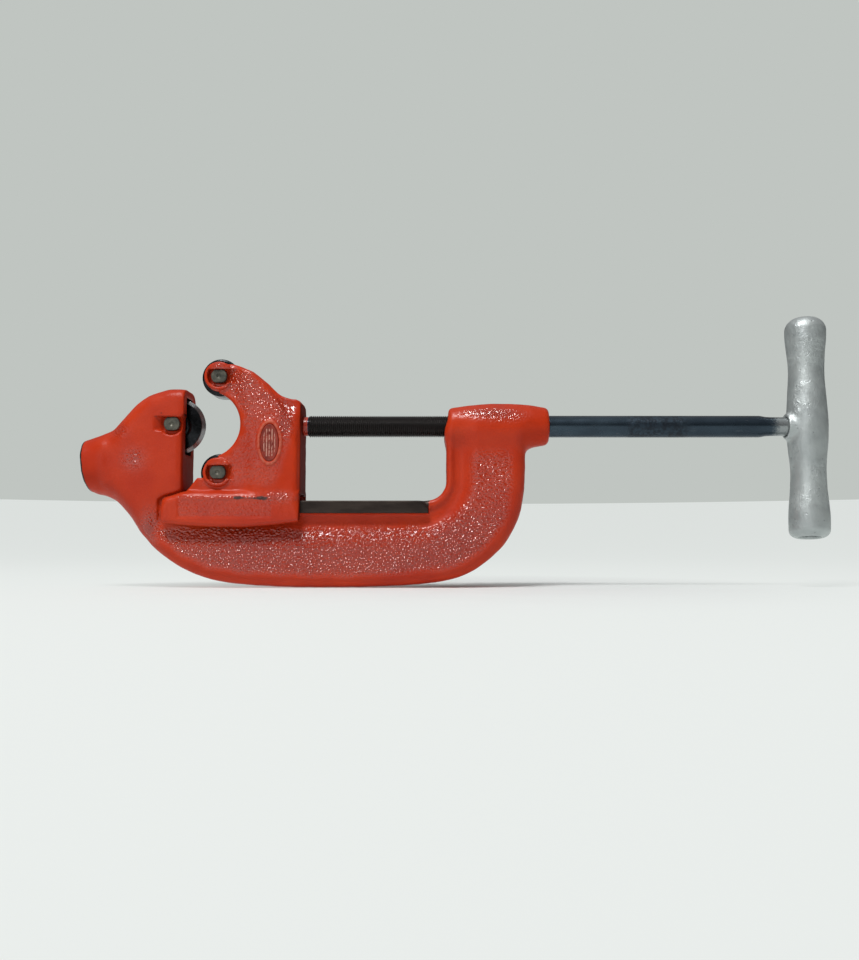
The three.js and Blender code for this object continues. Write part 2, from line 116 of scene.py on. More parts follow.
def arc(centre, radius, start, end, steps=24):
    """Points round an arc, angles in degrees."""
    t = np.radians(np.linspace(start, end, steps))
    return np.column_stack([centre[0] + radius * np.cos(t), centre[1] + radius * np.sin(t)])


def outline_field(x, z, outline):
    """Signed distance, in the x-z plane, to a closed outline: negative inside."""
    best = np.full(np.broadcast(x, z).shape, np.inf, np.float32)
    crossings = np.zeros(best.shape, bool)
    for (x0, z0), (x1, z1) in zip(outline, np.roll(outline, -1, axis=0)):
        dx, dz = x1 - x0, z1 - z0
        if dx == 0 and dz == 0:
            continue
        t = np.clip(((x - x0) * dx + (z - z0) * dz) / (dx * dx + dz * dz), 0, 1)
        best = np.minimum(best, (x - x0 - t * dx) ** 2 + (z - z0 - t * dz) ** 2)
        if dz:
            crossings ^= ((z0 > z) != (z1 > z)) & (x < x0 + (z - z0) * dx / dz)
    return np.where(crossings, -1, 1) * np.sqrt(best)


def ripple(p, size, seed):
    """Gentle unevenness of a casting: a few waves of about the given size, between -1 and 1."""
    draw = np.random.default_rng(seed)
    total = 0.0
    for _ in range(7):
        direction = draw.normal(size=3)
        direction *= draw.uniform(0.7, 1.4) * 2 * np.pi / size / np.linalg.norm(direction)
        phase = draw.uniform(0, 2 * np.pi)
        total = total + np.sin(sum(c * k for c, k in zip(p, direction)) + phase)
    return total / 4


# ---------------------------------------------------------------- meshes

CREASE_ANGLE = math.radians(30)


def corner_shift(a, b, c):
    """Slices that take the same corner of every grid cell."""
    return tuple(slice(k, -1 if k == 0 else None) for k in (a, b, c))


def surface_net(values, low, step):
    """Vertices and quads of the surface where values cross zero: one vertex in each crossed
    cell, at the mean of its edge crossings, and one quad round each crossed grid edge."""
    inside = values < 0
    corners = [(a, b, c) for a in (0, 1) for b in (0, 1) for c in (0, 1)]
    count = sum(inside[corner_shift(*k)].astype(np.uint8) for k in corners)
    active = (count > 0) & (count < 8)
    cells = np.argwhere(active)
    number = np.full(active.shape, -1, np.int32)
    number[active] = np.arange(len(cells), dtype=np.int32)
    total = np.zeros((len(cells), 3))
    hits = np.zeros(len(cells))
    for axis in range(3):
        unit = np.eye(3, dtype=int)[axis]
        for corner in corners:
            if corner[axis]:
                continue
            start = cells + corner
            end = start + unit
            a, b = values[tuple(start.T)], values[tuple(end.T)]
            crossed = (a < 0) != (b < 0)
            share = a[crossed] / (a[crossed] - b[crossed])
            total[crossed] += np.array(corner) + share[:, None] * unit
            hits += crossed
    vertices = low + step * (cells + total / hits[:, None])
    quads = []
    for axis in range(3):
        u, v = (axis + 1) % 3, (axis + 2) % 3
        near, far = [slice(1, -1)] * 3, [slice(1, -1)] * 3
        near[axis], far[axis] = slice(0, -1), slice(1, None)
        here, there = inside[tuple(near)], inside[tuple(far)]
        for leaving in (True, False):
            edges = np.argwhere((here if leaving else there) & (here != there))
            first = edges.copy()
            first[:, u] += 1
            first[:, v] += 1
            ring = []
            for du, dv in ((1, 1), (0, 1), (0, 0), (1, 0)):
                cell = first.copy()
                cell[:, u] -= du
                cell[:, v] -= dv
                ring.append(number[tuple(cell.T)])
            quads.append(np.column_stack(ring if leaving else ring[::-1]))
    return vertices, np.vstack(quads)


def add_mesh(name, vertices, faces, body, material, nodes, masks):
    """Makes a smooth piece from points in wheel-centred millimetres, and rides it on its body.
    masks maps an attribute to its value at each point."""
    mesh = bpy.data.meshes.new(name)
    placed = np.asarray(vertices) * MM + np.array(WHEEL)
    mesh.from_pydata(placed.tolist(), [], faces)
    mesh.shade_smooth()
    for mask, values in masks.items():
        attribute = mesh.attributes.new(mask, "FLOAT", "POINT")
        attribute.data.foreach_set("value", np.asarray(values, np.float32))
    mesh.materials.append(material)
    piece = bpy.data.objects.new(name, mesh)
    bpy.context.scene.collection.objects.link(piece)
    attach(piece, body)
    for node in nodes:
        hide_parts(node)
    return piece


def sculpt(name, field, low, high, step, body, material, nodes, masks=None):
    """Meshes a distance field over a box. masks maps an attribute to a function of points."""
    low = np.array(low, float) - 1.5 * step
    counts = np.ceil((np.array(high, float) + 1.5 * step - low) / step).astype(int) + 1
    grid = [(low[i] + step * np.arange(counts[i])).astype(np.float32) for i in range(3)]
    p = grid[0][:, None, None], grid[1][None, :, None], grid[2][None, None, :]
    vertices, quads = surface_net(np.broadcast_to(field(p), counts), low, step)
    found = {k: f(vertices.T) for k, f in (masks or {}).items()}
    return add_mesh(name, vertices, quads.tolist(), body, material, nodes, found)


def turned(name, profile, segments, centre, axis, body, material, nodes, bored=True,
           wobble=None, masks=None):
    """Adds a piece swept round an axis through centre. profile holds (along, radius) pairs: a
    closed loop for a bored piece, otherwise an open line whose two ends are capped. wobble gives
    the change of radius at each point."""
    profile = np.array(profile, float)
    angle = np.linspace(0, 2 * np.pi, segments, endpoint=False)
    along = np.repeat(profile[:, :1], segments, axis=1)
    radius = np.repeat(profile[:, 1:], segments, axis=1)
    if wobble:
        radius = radius + wobble(along, angle[None, :])
    rings = np.stack([along, radius * np.cos(angle), radius * np.sin(angle)], axis=-1)
    if axis == "y":
        rings = rings[..., [2, 0, 1]]
    index = np.arange(rings.shape[0] * segments).reshape(-1, segments)
    if bored:
        index = np.vstack([index, index[:1]])
    beside = np.roll(index, -1, axis=1)
    quads = np.stack([index[:-1], index[1:], beside[1:], beside[:-1]], axis=-1)
    faces = quads.reshape(-1, 4).tolist()
    if not bored:
        faces += [index[0].tolist(), index[-1].tolist()]
    vertices = rings.reshape(-1, 3) + np.array(centre)
    found = {k: f(vertices.T) for k, f in (masks or {}).items()}
    piece = add_mesh(name, vertices, faces, body, material, nodes, found)
    piece.data.set_sharp_from_angle(angle=CREASE_ANGLE)
    work = bmesh.new()
    work.from_mesh(piece.data)
    bmesh.ops.recalc_face_normals(work, faces=work.faces)
    work.to_mesh(piece.data)
    work.free()
    return piece


# ---------------------------------------------------------------- frame casting

OPEN = np.inf           # a side of a box or a cylinder that has no end
SLACK = 2.0             # how far the housing can go past its rest place, towards the wheel

RAIL_TOP = -60.0
RAIL_BOTTOM = -70.2
RAIL_HALF = 15.9
RAIL_END_X = 201.5
RAIL_CHAMFER = 6.0
MOUTH_X = 8.9           # the jaw's face towards the pipe
LEG_X = 215.8           # the leg's face towards the housing
LEG_CORNER = 16
LEG_BACK_X = 278.4
JAW_HALF = 21.3
NOSE_TIP = np.array([-71.0, -31.8])
NOSE_AXIS = np.array([math.cos(0.117), math.sin(0.117)])
NOSE_RADIUS = 20.3
SOCKET_RADIUS = 12.5
SOCKET_DEPTH = 22
POCKET_RADIUS = 24.0
POCKET_HALF = 9.5
PIN_BORE = 5
THREAD_BORE = 9.25
JAW_SEAT = 14.7         # from the middle plane to the floor of the wheel pin's seat
JAW_RING_SEAT = 17.3    # the same for the pin's retaining ring, on the rear
SKIRT_SEAT = 15.4       # from the middle plane to the floor of the skirt's recess

BELLY = [(-60, -52.4), (-54, -55.4), (-44, -62), (-33.4, -73.6), (-23.6, -88),
         (-9.4, -101.8), (7.6, -113), (26.8, -121), (50.8, -125.4), (84, -127.6),
         (118, -128.3), (166, -127.5), (194.8, -125.8), (214, -123.2), (225, -120.4),
         (235, -116.2), (245, -109.8), (254.6, -101.6), (264.4, -90.4), (273, -73),
         (277, -55), (278.4, -35)]
CROWN = [(-62, -14), (-50, -3.4), (-44.6, 2.2), (-39.6, 7.4), (-30, 17.4), (-20.6, 24),
         (-6.8, 28), (4, 28.4), (12.6, 27.4), (18.4, 25)]
FRAME_OUTLINE = np.vstack([curve_through(CROWN), [(18.4, 2), (LEG_BACK_X, 2)],
                           curve_through(BELLY)[::-1]])
BOSS_PROFILE = curve_through([(216.4, 14.4), (224, 15.5), (232.6, 16.7), (245, 18),
                              (257.5, 18.4), (270, 18.1), (282, 17.2), (290, 16.1),
                              (297.6, 14.9)])
BOSS_ENDS = (217.4, 297.6)


def window_field(x, z):
    """Distance to the open space between jaw and leg, above the rail. The jaw's side of it runs
    out at the top into a hood over the wheel."""
    right_and_below = round_meet(x - LEG_X, RAIL_TOP - z, LEG_CORNER)
    hood = 9.6 * ramp(z, 5, 17)
    return np.maximum(MOUTH_X + hood - x, right_and_below)


def jaw_share(x, z):
    """1 over the broad jaw, fading to 0 along the beam."""
    return 1 - ramp(0.55 * (x + 10) - 0.83 * (z + 48), 0, 46)


def frame_half(x, z, inset):
    """Half thickness of the casting: a thin neck by the window that swells to a heavy rim, and
    the broad cheeks of the jaw."""
    leg = ramp(x, 185, 232)
    reach = inset / mix(1.0, 0.65, leg)
    rim = 1 - ramp(reach, 5, 11)
    beam = 10.2 + 2 * rim + 6.2 * ramp(reach, 15, 38)
    neck_down = 5.0 * (1 - ramp(x, -62, -34)) + 5 * ramp(x, 4, 20) * ramp(z, -24, 12)
    return mix(beam, JAW_HALF - neck_down, jaw_share(x, z))


def nose_field(p, radius):
    """Distance outside a cylinder on the nose's sloping axis, and distance along that axis."""
    x, y, z = p
    dx, dz = x - NOSE_TIP[0], z - NOSE_TIP[1]
    along = dx * NOSE_AXIS[0] + dz * NOSE_AXIS[1]
    across = dz * NOSE_AXIS[0] - dx * NOSE_AXIS[1]
    return np.hypot(across, y) - radius, along


def boss_field(p):
    """The threaded boss: a barrel-shaped turned body round the screw."""
    x, y, z = p
    profile = np.interp(x, BOSS_PROFILE[:, 0], BOSS_PROFILE[:, 1])
    ends = np.maximum(BOSS_ENDS[0] - x, x - BOSS_ENDS[1])
    return round_meet(np.hypot(y, z) - profile, ends, 3.2)


def rail_field(p):
    """The machined rail, chamfered where it runs out at the foot of the leg."""
    x, y, z = p
    chamfer = (x - (RAIL_END_X - RAIL_CHAMFER) + z - RAIL_TOP) * 0.707
    ends = np.maximum(-30 - x, np.maximum(x - RAIL_END_X, chamfer))
    section = np.maximum(np.maximum(np.abs(y) - RAIL_HALF, z - RAIL_TOP), RAIL_BOTTOM - z)
    return np.maximum(ends, section)


def milled_seat(p, across, height, way, depth, face, reach):
    """A pin head's seat: a slot whose floor, depth from the middle, climbs out of the face at
    reach on one side (way -1 or 1), joined to a shallower round spotface below."""
    x, y, z = p
    flat_end, half_height, spot_radius = 6.2, 5.35, 8.9
    dx, dz = (x - across) * way, z - height
    floor = depth + np.maximum(dx - flat_end, 0) * (face - depth) / (reach - flat_end)
    slot = np.maximum(np.abs(dz) - half_height, y + floor)
    slot = np.maximum(slot, -7.8 - dx)
    spot = np.maximum(np.hypot(dx, dz) - spot_radius, np.maximum(y + depth + 1.2, dz - 5.3))
    return np.minimum(slot, spot)


def frame_field(p):
    """The C-frame: outline and thickness first, then nose, boss, skirt recess, rail and cuts."""
    x, y, z = p
    side = np.abs(y)
    outer = outline_field(x, z, FRAME_OUTLINE)
    window = window_field(x, z)
    jaw = jaw_share(x, z) * (1 - ramp(x, 10, 40))
    rim_radius = mix(10, 16.8, jaw) - 7 * jaw * ramp(x, -26, 16)
    body = round_meet(outer, side - frame_half(x, z, window), rim_radius)
    body = round_meet(body, -window, mix(3, 5.5, jaw) - 3 * jaw * ramp(z, 0, 12))

    wall, along = nose_field(p, NOSE_RADIUS)
    nose = round_meet(round_meet(wall, -along, 1.6), along - 18, 1)
    body = smooth_join(body, nose, 13)
    body = smooth_join(body, boss_field(p), 9)
    body = round_meet(body, side - JAW_HALF - 0.3, 4)
    body = body - 0.12 * ripple(p, 16, 5) - 0.06 * ripple(p, 6, 8)

    swept = np.minimum(outline_field(x, z, SKIRT_OUTLINE),
                       outline_field(x + SLACK, z, SKIRT_OUTLINE))
    body = smooth_cut(body, np.maximum(swept - 0.8, SKIRT_SEAT - side), 2.2)
    body = smooth_join(body, rail_field(p), 1.6)

    wall, along = nose_field(p, SOCKET_RADIUS)
    above_rail = np.maximum(MOUTH_X + 0.6 - x, x - LEG_X + LEG_CORNER)
    cuts = [
        round_meet(wall, along - SOCKET_DEPTH, 2),
        np.maximum(np.hypot(x, z) - POCKET_RADIUS, side - POCKET_HALF),
        np.hypot(x, z) - PIN_BORE,
        milled_seat(p, 0, 0, -1, JAW_SEAT, JAW_HALF, 15),
        disc_field(p, (0, 0), 9, JAW_RING_SEAT, OPEN),
        np.maximum(np.hypot(y, z) - THREAD_BORE, 200 - x),
        np.maximum(above_rail, RAIL_TOP - z),
    ]
    for cut in cuts:
        body = round_meet(body, -cut, 0.5)
    return body


def patch(x, z, centre, width, height):
    """A soft oval patch: 1 at its centre, fading to 0."""
    return np.exp(-2 * ((x - centre[0]) / width) ** 2 - 2 * ((z - centre[1]) / height) ** 2)


def frame_grain(p):
    """1 on the pebbled as-cast faces, 0 on smooth margins and necks."""
    x, y, z = p
    inset = -outline_field(x, z, FRAME_OUTLINE)
    uneven = 1.4 * ripple(p, 18, 3)
    from_window = window_field(x, z) + uneven
    on_leg = ramp(x, 185, 232)
    beam = ramp(from_window, mix(19, 14, on_leg), mix(25, 24, on_leg))
    beam = beam * ramp(inset + uneven, 6, 15) * (1 - ramp(jaw_share(x, z), 0.45, 0.97))
    beam = beam * (1 - 0.4 * on_leg * ramp(z, -95, -60)) * (1 - on_leg * ramp(z, -30, -14))
    jaw = 0.08 + 0.6 * patch(x, z, (-29, -28), 12, 11) + 0.5 * patch(x, z, (-41, -5), 9, 7)
    jaw = jaw + 0.9 * patch(x, z, (-16, -82), 9, 18)
    boss = patch(x, z, (247, 9), 27, 5) + 0.5 * patch(x, z, (262, 6), 24, 8)
    face = ramp(np.abs(y), 6, 9)
    return np.clip(np.maximum(np.maximum(beam, jaw * ramp(inset, 1, 6)), boss) * face, 0, 1)


def frame_bare(p):
    """1 where the paint is gone: the machined rail, the wheel pocket and the nose rim."""
    x, y, z = p
    rail = ramp(x, 8, 10) * (1 - ramp(x, 201, 202.5)) * (1 - ramp(np.abs(z + 65), 4.7, 5.6))
    rail = rail * ramp(np.abs(y), 10, 12) + (np.abs(z - RAIL_TOP) < 0.7) * (x > 9) * (x < 202)
    wall, along = nose_field(p, NOSE_RADIUS)
    rim = 1 - ramp(along, 1.0, 2.2)
    socket = (wall < -6) & (along < 26)
    pocket = (np.hypot(x, z) < POCKET_RADIUS + 0.5) & (np.abs(y) < 9.8) & (x < 9)
    return np.clip(rail + rim + socket + pocket, 0, 1)


def frame_wear_and_shadow(p):
    """Where handling has rubbed or soiled the paint: hood tip, jaw mouth and a knock by the pin
    slot. The slot's top edge also gets a painted shadow line.
    """
    x, y, z = p
    edge = (1 - ramp(np.abs(window_field(x, z)), 0.6, 2.0)) * ramp(z, 2, 9) * (x < 30)
    # Painted shadow: a dark line along the pin slot's top edge.
    slot = (np.abs(x + 5) < 9) * (np.abs(z - 5.4) < 0.9) * (y < -14)
    knocks = patch(x, z, (-8.5, 8.2), 4.2, 2) * (y < -18)
    return np.clip(0.75 * edge + 0.5 * slot + 0.6 * knocks, 0, 1)


# ---------------------------------------------------------------- roller housing

ROLLER_X = 36.3
ROLLER_Z = 38.0
ARC_CENTRE = (26.9, 0)
ARC_RADIUS = 26.4
LOBE_RADIUS = 11.5
ROLLER_POCKET_RADIUS = 16.5
ROLLER_POCKET_HALF = 11
FORK_SEAT = 13.6        # from the middle plane to the floor of a roller pin's seat
HOUSING_END = 101.3
HOUSING_FACE = 22.3
ARM_HALF = 17
SKIRT_HALF = 23.9
CHANNEL_HALF = 16.6     # the inside of the skirts, clear of the rail
SOLE = -59.7
HUB_RADIUS = 21.9
NECK_BORE = 5.6
CLIP_SLOT = (87.9, 91.1)
OVAL = (77.6, -15.3)

ARM_BACK = [(42, 47.6), (48, 47.4), (54.5, 45.3), (64, 40.6), (73.2, 33.6), (82.6, 24.8)]
ARM_OUTLINE = np.vstack([
    [(12.7, -60), (12.7, -51.8), (20.1, -42.4)],
    arc((ROLLER_X, -ROLLER_Z), LOBE_RADIUS, 202, 90),
    arc(ARC_CENTRE, ARC_RADIUS, -70, 70, 40),
    arc((ROLLER_X, ROLLER_Z), LOBE_RADIUS, 270, 75),
    curve_through(ARM_BACK + [(88, 21.6), (95, 19.8)]),
    arc((95.3, 14), 6, 78, 0, 8),
    [(HOUSING_END, -60)],
])
FACE_OUTLINE = np.vstack([
    [(38, -60), (38, -30)],
    arc(ARC_CENTRE, ARC_RADIUS, -40, 60, 24),
    [(46, 46), (64, 41)],
    curve_through([(73, 32), (84, 17), (94.5, 4), (99.6, -8), (101.4, -22), (101.4, -60)]),
])
SKIRT_OUTLINE = np.vstack([
    [(-6.5, -76), (-6.9, -60), (-4, -57.6), (10.5, -53.1), (HOUSING_END, -53.1)],
    arc((98.6, -74.4), 2.7, 0, -80, 8),
    curve_through([(80, -79.5), (60, -80.8), (46, -81), (24, -80.4), (4, -78.8), (-4.6, -78.2)]),
])


def oval_field(x, z, half_width, half_height):
    """Distance to an upright ellipse on the housing's face."""
    dx, dz = x - OVAL[0], z - OVAL[1]
    reach = np.hypot(dx / half_width, dz / half_height)
    slope = np.hypot(dx / half_width**2, dz / half_height**2) + 1e-6
    return reach * (reach - 1) / slope


def housing_field(p):
    """The housing: flat arm, swelling face, screw hub, skirts and pin pads, then the cuts."""
    x, y, z = p
    side = np.abs(y)
    arm = outline_field(x, z, ARM_OUTLINE)
    body = round_meet(arm, side - ARM_HALF, 1.6)

    swell = ARM_HALF + (HOUSING_FACE - ARM_HALF) * ramp(x + 0.12 * z, 46, 66)
    near_end = ramp(x, 84, 96)
    face = round_meet(outline_field(x, z, FACE_OUTLINE), side - swell, mix(2.6, 6, near_end))
    face = round_meet(face, arm, mix(2.2, 4, near_end))
    body = smooth_join(body, face, 2.5)

    ends = np.maximum(66 - x, x - HOUSING_END)
    hub = np.maximum(round_meet(np.hypot(y, z) - HUB_RADIUS, ends, 6), arm)
    body = smooth_join(body, hub, 2)

    shoulder = mix(3.5, 7, ramp(z, -70, -60))
    skirt = round_meet(outline_field(x, z, SKIRT_OUTLINE), side - SKIRT_HALF, shoulder)
    body = smooth_join(body, skirt, 3)
    for height in (ROLLER_Z, -ROLLER_Z):
        pad = disc_field(p, (ROLLER_X, height), LOBE_RADIUS - 0.2, -19.6, -10, 1.1)
        body = smooth_join(body, pad, 1.5)
    body = body - 0.16 * ripple(p, 11, 21) - 0.08 * ripple(p, 5, 4)
    body = round_meet(body, np.maximum(x - HOUSING_END, side - SKIRT_HALF), 0.8)

    ring = round_meet(oval_field(x, z, 9.6, 17.6), np.maximum(-23.3 - y, y + 12), 0.9)
    body = smooth_join(body, ring, 1.2)

    panel = box_field((x, side, z), (6.7, 23.2, -74.2), (80.4, OPEN, -59.6), 1.0)
    channel = side - CHANNEL_HALF
    end_relief = (x - 93.4) * 0.66 + (SOLE - z) * 0.75
    cuts = [
        np.maximum(channel, z - SOLE),
        np.maximum(np.maximum(channel, x - 12.7), z),
        np.maximum(np.maximum(channel, -end_relief), z - SOLE - 4),
        np.hypot(x - ARC_CENTRE[0], z) - ARC_RADIUS,
        panel,
        np.maximum(oval_field(x, z, 7.5, 15), y + 22.1),
        np.maximum(np.hypot(y, z) - NECK_BORE, 76.5 - x),
        box_field(p, (CLIP_SLOT[0], -7.8, -8.8), (CLIP_SLOT[1], OPEN, 8.8)),
    ]
    for height in (ROLLER_Z, -ROLLER_Z):
        away = np.hypot(x - ROLLER_X, z - height)
        cuts.append(np.maximum(away - ROLLER_POCKET_RADIUS, side - ROLLER_POCKET_HALF))
        cuts.append(away - PIN_BORE)
        cuts.append(milled_seat(p, ROLLER_X, height, 1, FORK_SEAT, 17.4, 12.6))
    for cut in cuts:
        body = round_meet(body, -cut, 0.45)
    return body


def housing_grain(p):
    """1 where the housing is pebbled: the upper arm most, the face and the skirt's panel less."""
    x, y, z = p
    arm = -outline_field(x, z, ARM_OUTLINE)
    uneven = 2 * ripple(p, 14, 9)
    face = ramp(arm + uneven, 1, 7) * ramp(np.abs(y), 13, 16) * ramp(z + uneven, -54, -42)
    face = face * (1 - ramp(x - 0.3 * z, 92, 101)) * ramp(oval_field(x, z, 10, 18), -0.5, 1)
    level = mix(0.4, 0.85, ramp(z - 0.3 * x + uneven, -30, 8))
    shoulder = 0.8 * patch(x, z, (90, 2), 7, 16) + 0.7 * patch(x, z, (86, -58), 12, 6)
    panel = 0.25 * (np.abs(x - 43.5) < 36) * (np.abs(z + 65) < 8) + 0.12 * ramp(-z, 50, 56)
    return np.clip(face * level + (shoulder + panel) * (np.abs(y) > 12), 0, 1)


def housing_bare(p):
    """Machined surfaces: roller pockets, the channel over the rail and the screw socket."""
    x, y, z = p
    bare = (np.abs(y) < 16.9) & (z < SOLE + 0.5)
    for height in (ROLLER_Z, -ROLLER_Z):
        bare = bare | ((np.hypot(x - ROLLER_X, z - height) < 16.8) & (np.abs(y) < 11.3))
    socket = (np.hypot(y, z) < 6) & (x > 77)
    return np.clip(1.0 * bare + socket, 0, 1)


def housing_wear(p):
    """Two chips where the ledge above the skirt has been knocked, joined by a thin scratch."""
    x, y, z = p
    first = 1.35 - np.hypot((x - 54) / 4.6, (z + 58.4) / 1.7)
    second = 1.35 - np.hypot((x - 72) / 6.4, (z + 58.8) / 1.9)
    scratch = 0.85 - np.abs(z + 58.6) / 1.3 - 2 * np.maximum(np.abs(x - 63) - 9, 0)
    marks = np.maximum(np.maximum(first, second), scratch)
    return np.clip(marks, 0, 1) * (y < -18)


def housing_painted_shade(p):
    """Painted shade: the end face round the screw, which lies in shadow, coloured dark and dull."""
    x, y, z = p
    return ramp(x, 100.2, 101.1) * (z < 24)


def frame_painted_shade(p):
    """Painted shade on the jaw's mouth face, around the wheel, which lies in shadow."""
    x, y, z = p
    on_mouth = (1 - ramp(np.abs(window_field(x, z)), 0.5, 1.6)) * (x < 30)
    return 0.6 * on_mouth * ramp(z, -62, -50) * (z < 26)


def housing_rubbed(p):
    """The raised rim round the label, rubbed pale."""
    x, y, z = p
    rim = oval_field(x, z, 8.6, 16.6)
    return (1 - ramp(np.abs(rim), 0.6, 1.4)) * (y < -22.4)


# ---------------------------------------------------------------- T-handle

HANDLE_X = 506.3
HANDLE_HALF = 90.1
LEAN = math.radians(-3.5)
RAKE = math.radians(1.7)
GRIP = curve_through([(-90.2, 15.2), (-84, 15.7), (-73.4, 15.8), (-60, 14.9), (-48, 13.9),
                      (-36.6, 13.6), (-24, 14.4), (-12, 15.6), (0, 16), (12, 15.7),
                      (28, 14.6), (45, 13.8), (60, 14.7), (70, 15.6), (78.6, 16), (90.2, 15.6)])


def in_handle(p):
    """Points in the handle's own frame: its length upright, its centre on the screw axis."""
    x, y, z = p
    c, s = math.cos(LEAN), math.sin(LEAN)
    return x - HANDLE_X, y * c + z * s, z * c - y * s


def handle_field(p):
    """The cross handle: a waisted grip, raked off square, with a collar towards the screw."""
    x, y, z = in_handle(p)
    across = x * math.cos(RAKE) - z * math.sin(RAKE)
    along = z * math.cos(RAKE) + x * math.sin(RAKE)
    lumps = 0.1 * ripple((x, y, z), 21, 12) + 0.05 * ripple((x, y, z), 7, 31)
    radius = np.interp(along, GRIP[:, 0], GRIP[:, 1]) + lumps - 0.1
    corner = mix(6, 11, ramp(along, -20, 20))
    ends = np.maximum(along - HANDLE_HALF, -along - 0.07 * y - HANDLE_HALF + 0.6)
    body = round_meet(np.hypot(across, y) - radius, ends, corner)
    collar = round_meet(np.hypot(y, z) - 9.9, np.maximum(-17.8 - x, x), 1.4)
    body = smooth_join(body, collar, 4)
    cuts = [
        np.maximum(np.hypot(across, y) - 8.6, 26 - np.abs(along)),
        np.maximum(np.hypot(y, z) - 7.9, x - 8),
        np.maximum(np.hypot(x, z) - 3.2, -5 - y),
    ]
    for cut in cuts:
        body = round_meet(body, -cut, 1.2)
    return body


# ---------------------------------------------------------------- pins, clips and label

def pin_field(p, height, across, floor, seat):
    """A headed pin through (across, height) with flats on its head and a groove at its tail."""
    x, y, z = p
    around = np.hypot(x - across, z - height)
    top, under = -floor - 4.4, -floor - 0.25
    head = round_meet(around - 6.2, np.maximum(top - y, y - under), 0.5)
    head = round_meet(head, np.abs(z - height) - 5.05, 0.5)
    mark = np.sqrt(around**2 + (y - top + 1.1) ** 2) - 2.1
    head = round_meet(head, -mark, 0.3)
    shank = round_meet(around - 4.7, np.maximum(under - 1 - y, y - seat - 3.6), 0.7)
    groove = np.maximum(3.7 - around, np.abs(y - seat - 1) - 0.65)
    return np.minimum(head, np.maximum(shank, -groove))


def clip_field(p, height, across, seat):
    """An open retaining ring with a mouth at the bottom and a small lug each side of it."""
    x, y, z = p
    dx, dz = x - across, z - height
    around = np.hypot(dx, dz)
    ring = round_meet(around - 6.9, np.abs(y - seat - 1) - 0.5, 0.2)
    lug = np.hypot(np.abs(dx) - 4.1, dz + 5.1) - 1.9
    ring = np.minimum(ring, round_meet(lug, np.abs(y - seat - 1) - 0.5, 0.2))
    inner = np.minimum(around - 4, np.maximum(np.abs(dx) - 2.3, dz))
    eyes = np.hypot(np.abs(dx) - 4.2, dz + 5.3) - 0.75
    return np.maximum(np.maximum(ring, -inner), -eyes)


def screw_clip_field(p):
    """The U plate that drops into the screw's neck groove from the rear."""
    x, y, z = p
    plate = box_field(p, (88.25, -7.4, -8.4), (90.75, 20.8, 8.4), 0.5)
    mouth = np.where(y > 0, np.abs(z), np.hypot(y, z)) - 4.1
    pull = np.hypot(y - 17.6, np.abs(z) - 6.2) - 1.1
    return np.maximum(np.maximum(plate, -mouth), -pull)


def label_field(p):
    """A thin oval plate with a raised border and print."""
    x, y, z = p
    edge = oval_field(x, z, 7.1, 14.6)
    border = 0.16 * ramp(edge, -1.5, -1.2)
    return round_meet(edge, np.maximum(-22.75 - border - label_print(p) * 0.12 - y, y + 22.2), 0.1)


def label_print(p):
    """A plain pattern of upright ribs down the middle of the oval."""
    x, y, z = p
    inside = 1 - ramp(oval_field(x, z, 7.1, 14.6), -2.2, -1.8)
    ribs = ramp(np.sin((x - OVAL[0]) * 2 * np.pi / 2.1 + 1.6), -0.2, 0.5)
    return inside * ribs * (1 - ramp(np.abs(z - OVAL[1]), 10.4, 11))


# ---------------------------------------------------------------- feed screw and rolling parts

PITCH = 25.4 / 16
THREAD = (105.6, 299.0)
SCREW_RADIUS = 8.72


def screw_profile():
    """The bar from its grooved neck to its reduced end. The thread has eight rings a turn, and
    the plain rod has enough rings to carry its masks."""
    neck = [(78, 4.2), (79, 5.2), (87.9, 5.2), (87.95, 3.7), (91.05, 3.7), (91.1, 5.2),
            (101.3, 5.2), (101.35, 7.4), (101.7, 7.7), (104.8, 7.7), (105.2, 7.6),
            (THREAD[0], 7.6)]
    thread = [(x, SCREW_RADIUS) for x in np.arange(THREAD[0] + 0.8, THREAD[1], PITCH / 8)]
    rod = [(x, SCREW_RADIUS) for x in np.arange(299.4, 466, 4)]
    reduced = [(467, SCREW_RADIUS), (469.6, 8.3), (472, 7.85), (476, 7.62), (480, 7.6),
               (484, 7.6), (488, 7.6), (512.6, 7.6)]
    return neck + thread + rod + reduced


def thread_depth(along, angle):
    """Radius taken away by the right-hand thread at each point of the bar."""
    phase = (along / PITCH - angle / (2 * np.pi)) % 1
    depth = np.clip(1.28 * np.abs(2 * phase - 1) - 0.14, 0, 1)
    fade = ramp(along, THREAD[0], THREAD[0] + 1.8) * (1 - ramp(along, THREAD[1] - 5, THREAD[1]))
    return -0.92 * depth * fade


WHEEL_PROFILE = [(-9.1, 5), (-9.1, 10.2), (-8.3, 11), (-4.4, 11), (-3.4, 11.8), (-2.9, 15),
                 (-2.2, 19.6), (-1.7, 20.2), (-0.12, 22.6), (0.12, 22.6), (1.7, 20.2),
                 (2.2, 19.6), (2.9, 15), (3.4, 11.8), (4.4, 11), (8.3, 11), (9.1, 10.2),
                 (9.1, 5)]
ROLLER_PROFILE = [(-10.6, 5), (-10.6, 6.4), (-10.3, 6.7), (-10.3, 13.2), (-9.9, 14.3),
                  (-9.2, 14.9), (-8.6, 15), (8.6, 15), (9.2, 14.9), (9.9, 14.3), (10.3, 13.2),
                  (10.3, 6.7), (10.6, 6.4), (10.6, 5)]


# ---------------------------------------------------------------- materials

def tone(red, green, blue):
    """An 8-bit display colour as linear RGBA."""
    parts = [c / 255 for c in (red, green, blue)]
    return [c / 12.92 if c <= 0.04045 else ((c + 0.055) / 1.055) ** 2.4 for c in parts] + [1]


